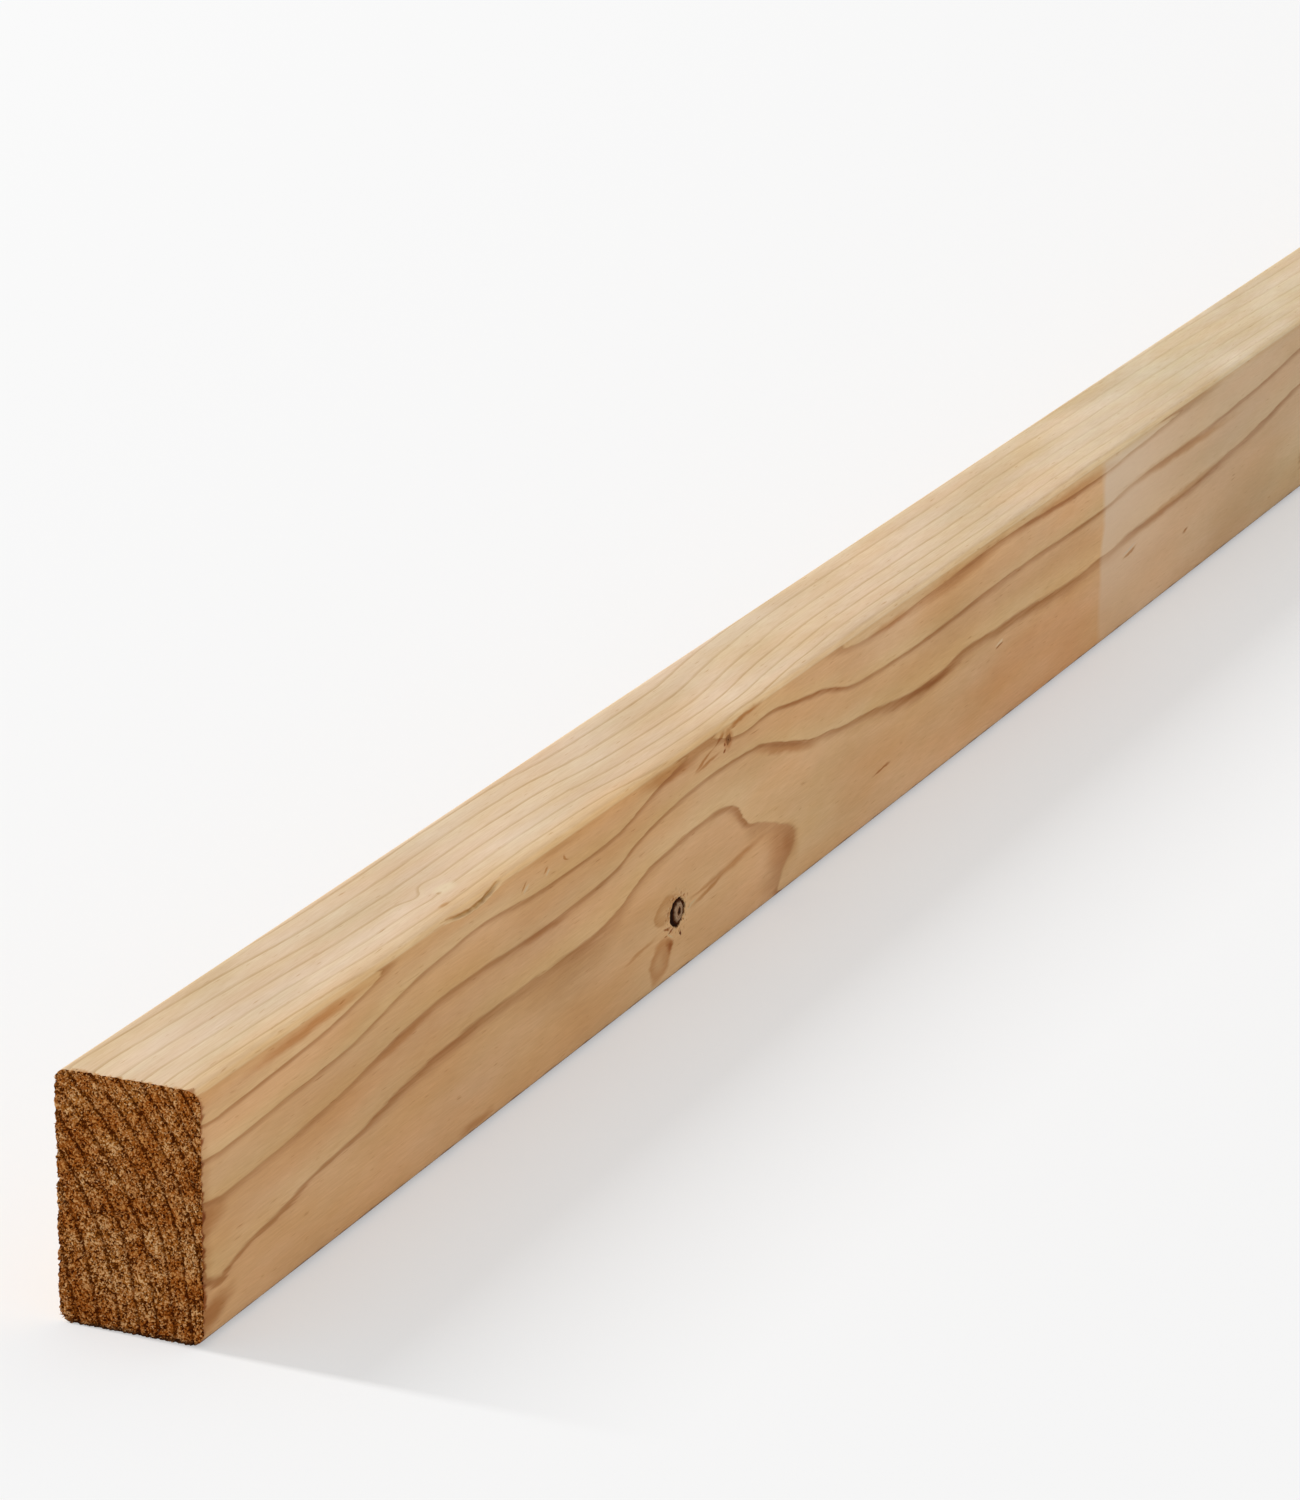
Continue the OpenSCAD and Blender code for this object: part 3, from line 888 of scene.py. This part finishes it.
def fibre_tufts(material):
    """Node tree that stands tapered splinters on the sawn ends of a mesh."""
    tree = node_tree("fibre_tufts", {"Density": 3e5, "Length": 1.1 * MM, "Thickness": 0.2 * MM, "Seed": 11})
    given = add(tree, "NodeGroupInput").node
    sawn = add(tree, "GeometryNodeInputNamedAttribute", {"Name": "sawn"}, data_type="FLOAT")
    at_end = maths(tree, "GREATER_THAN", sawn, SAWN_SHARE)
    spots = add(tree, "GeometryNodeDistributePointsOnFaces", {
        "Mesh": given.outputs["Geometry"], "Selection": at_end, "Density": given.outputs["Density"],
        "Seed": given.outputs["Seed"]}, output="Points")
    position = add(tree, "GeometryNodeInputPosition")
    x = add(tree, "SeparateXYZ", {0: position}, output="X")
    side = maths(tree, "SIGN", x)
    out = add(tree, "CombineXYZ", {0: side})
    lean = add(tree, "FunctionNodeRandomValue", {"Min": (-1.2,) * 3, "Max": (1.2,) * 3, "Seed": 5},
               data_type="FLOAT_VECTOR")
    way = vectors(tree, "ADD", out, lean)
    turn = add(tree, "FunctionNodeAlignRotationToVector", {"Vector": way}, axis="Z")
    size = add(tree, "FunctionNodeRandomValue", {2: 0.35, 3: 1.0, "Seed": 8}, output=1, data_type="FLOAT")
    sliver = add(tree, "GeometryNodeMeshCone", {
        "Vertices": 4, "Radius Top": 0.02 * MM, "Radius Bottom": given.outputs["Thickness"],
        "Depth": given.outputs["Length"]}, output="Mesh")
    stood = add(tree, "GeometryNodeInstanceOnPoints", {
        "Points": spots, "Instance": sliver, "Rotation": turn, "Scale": size})
    whole = add(tree, "GeometryNodeRealizeInstances", {"Geometry": stood})
    # Splinters stop at the plane where the saw went, and at the planed faces
    low = vectors(tree, "MAXIMUM", position, LOW)
    both = vectors(tree, "MINIMUM", low, HIGH)
    kept = add(tree, "GeometryNodeSetPosition", {"Geometry": whole, "Position": both})
    done = add(tree, "GeometryNodeSetMaterial", {"Geometry": kept, "Material": material})
    add(tree, "NodeGroupOutput", {"Geometry": done})
    return tree


def grown(name, mesh, tree, values):
    """Runs a node tree on a mesh and returns a plain object of the result."""
    source = bpy.data.objects.new(name + "_source", mesh)
    bpy.context.collection.objects.link(source)
    modifier = source.modifiers.new(tree.name, "NODES")
    modifier.node_group = tree
    for item in tree.interface.items_tree:
        if item.in_out == "INPUT" and item.name in values:
            modifier[item.identifier] = values[item.name]
    evaluated = source.evaluated_get(bpy.context.evaluated_depsgraph_get())
    result = bpy.data.meshes.new_from_object(evaluated)
    bpy.data.objects.remove(source)
    result.name = name
    piece = bpy.data.objects.new(name, result)
    bpy.context.collection.objects.link(piece)
    return piece


class PLANK_OT_timber(bpy.types.Operator):
    """Makes the plank's own mesh with its planed faces and rough-sawn ends"""
    bl_idname = "plank.timber"
    bl_label = "Make Timber"

    def execute(self, context):
        shape, colours = context.scene.plank_shape, context.scene.plank_colours
        rings = growth_rings()
        materials = planed_softwood(colours, rings), sawn_end_grain(colours, rings)
        values = {"Saw Depth": shape.saw_depth, "Crumb Size": shape.crumb_size, "Rim Wear": shape.rim_wear}
        piece = grown("timber_plank", timber_mesh(shape), rough_sawing(materials), values)
        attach(piece, "root")
        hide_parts("plank")
        return {"FINISHED"}


class PLANK_OT_fibres(bpy.types.Operator):
    """Stands broken fibres on the sawn ends of the plank"""
    bl_idname = "plank.fibres"
    bl_label = "Stand Fibres"

    def execute(self, context):
        shape, colours = context.scene.plank_shape, context.scene.plank_colours
        timber = bpy.data.objects["timber_plank"].data
        area = (HIGH.y - LOW.y) * (HIGH.z - LOW.z)
        values = {"Density": STANDING * shape.fibre_count / area, "Length": shape.fibre_length}
        piece = grown("end_fibres", timber.copy(), fibre_tufts(torn_fibres(colours)), values)
        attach(piece, "root")
        return {"FINISHED"}


# Camera: place in the frame in metres, the way it faces in degrees, and the width of its sensor in mm
CAMERA_PLACE = (-2.2919, -0.6064, 0.5459)
CAMERA_YAW = 23.592
CAMERA_PITCH = 17.94
CAMERA_ROLL = 0.589
CAMERA_SENSOR = 36.0
CAMERA_RANGE = 100.0
# Strip light: what it is aimed at, its width, height and distance in metres, and its height in degrees
STRIP_AIM = Vector((-1.0, 0.0, 0.03))
STRIP_WIDTH, STRIP_HEIGHT = 0.5, 6.4
STRIP_DISTANCE = 12.0
STRIP_LEAN = 42.5
# Floor: half its width in metres, how far it lies under the plank, and how much of it is lit evenly
FLOOR_HALF = 30.0
FLOOR_DROP = 0.1 * MM
EVEN_SHARE = 0.42
BACKDROP = "#F6F6F6"


def seen_directly(tree):
    """1 where the camera sees a thing, straight or in a mirror, and 0 where it only lights other things."""
    path = add(tree, "LightPath").node.outputs
    shown = path["Is Camera Ray"]
    for kind in ("Is Glossy Ray", "Is Transmission Ray"):
        shown = maths(tree, "MAXIMUM", shown, path[kind])
    return shown


class PLANK_OT_stage(bpy.types.Operator):
    """Sets the plain floor, the soft light and the camera"""
    bl_idname = "plank.stage"
    bl_label = "Set Stage"

    def execute(self, context):
        stage = context.scene.plank_stage
        scene = context.scene
        scene.view_settings.view_transform = "Standard"
        # Floor
        material = new_material("matt_floor_paint")
        tree = material.node_tree
        paint = add(tree, "BsdfDiffuse", {"Color": stage.floor})
        glow = add(tree, "Emission", {"Color": linear(BACKDROP), "Strength": 1.0})
        even = maths(tree, "MULTIPLY", seen_directly(tree), EVEN_SHARE)
        shader = add(tree, "MixShader", {0: even, 1: paint, 2: glow})
        add(tree, "OutputMaterial", {"Surface": shader})
        mesh = bpy.data.meshes.new("floor")
        turns = (-1, -1), (1, -1), (1, 1), (-1, 1)
        corners = [(FLOOR_HALF * x, FLOOR_HALF * y, -FLOOR_DROP) for x, y in turns]
        mesh.from_pydata(corners, [], [(0, 1, 2, 3)])
        mesh.materials.append(material)
        floor = bpy.data.objects.new("floor", mesh)
        context.collection.objects.link(floor)
        # Even light from all round
        world = bpy.data.worlds.new("room")
        scene.world = world
        world.use_nodes = True
        tree = world.node_tree
        tree.nodes.clear()
        light = add(tree, "Background", {"Color": (1, 1, 1), "Strength": stage.sky_light})
        seen = add(tree, "Background", {"Color": linear(BACKDROP), "Strength": 1.0})
        both = add(tree, "MixShader", {0: seen_directly(tree), 1: light, 2: seen})
        add(tree, "OutputWorld", {"Surface": both})
        # Tall soft strip behind the plank, which throws the shadow square off its wide face
        lamp = bpy.data.lights.new("strip", "AREA")
        lamp.shape = "RECTANGLE"
        lamp.energy = stage.strip_light
        lamp.size, lamp.size_y = STRIP_WIDTH, STRIP_HEIGHT
        strip = bpy.data.objects.new("strip", lamp)
        context.collection.objects.link(strip)
        lean = math.radians(STRIP_LEAN)
        strip.location = STRIP_AIM + STRIP_DISTANCE * Vector((0, math.cos(lean), math.sin(lean)))
        strip.rotation_euler = (STRIP_AIM - strip.location).to_track_quat("-Z", "Y").to_euler()
        # Camera
        eye = bpy.data.cameras.new("camera")
        eye.lens = stage.lens
        eye.sensor_width = CAMERA_SENSOR
        eye.clip_end = CAMERA_RANGE
        camera = bpy.data.objects.new("camera", eye)
        context.collection.objects.link(camera)
        turn = Matrix.Rotation(math.radians(CAMERA_YAW - 90), 4, "Z")
        turn = turn @ Matrix.Rotation(math.radians(90 - CAMERA_PITCH), 4, "X")
        turn = turn @ Matrix.Rotation(math.radians(CAMERA_ROLL), 4, "Z")
        camera.matrix_world = Matrix.Translation(CAMERA_PLACE) @ turn
        scene.camera = camera
        return {"FINISHED"}


class VIEW3D_PT_plank(bpy.types.Panel):
    """Sizes, colours and steps of the plank"""
    bl_label = "Plank"
    bl_idname = "VIEW3D_PT_plank"
    bl_space_type = "VIEW_3D"
    bl_region_type = "UI"
    bl_category = "Plank"

    def draw(self, context):
        for group in (context.scene.plank_shape, context.scene.plank_colours, context.scene.plank_stage):
            for name in group.__annotations__:
                self.layout.prop(group, name)
        for operator in OPERATORS:
            self.layout.operator(operator.bl_idname)


OPERATORS = (PLANK_OT_timber, PLANK_OT_fibres, PLANK_OT_stage)
CLASSES = (PlankShape, PlankColours, PlankStage, *OPERATORS, VIEW3D_PT_plank)


def register():
    for cls in CLASSES:
        bpy.utils.register_class(cls)
    bpy.types.Scene.plank_shape = PointerProperty(type=PlankShape)
    bpy.types.Scene.plank_colours = PointerProperty(type=PlankColours)
    bpy.types.Scene.plank_stage = PointerProperty(type=PlankStage)


def unregister():
    del bpy.types.Scene.plank_shape
    del bpy.types.Scene.plank_colours
    del bpy.types.Scene.plank_stage
    for cls in reversed(CLASSES):
        bpy.utils.unregister_class(cls)


def main():
    register()
    bpy.ops.plank.timber()
    bpy.ops.plank.fibres()
    bpy.ops.plank.stage()


if __name__ == "__main__":
    main()
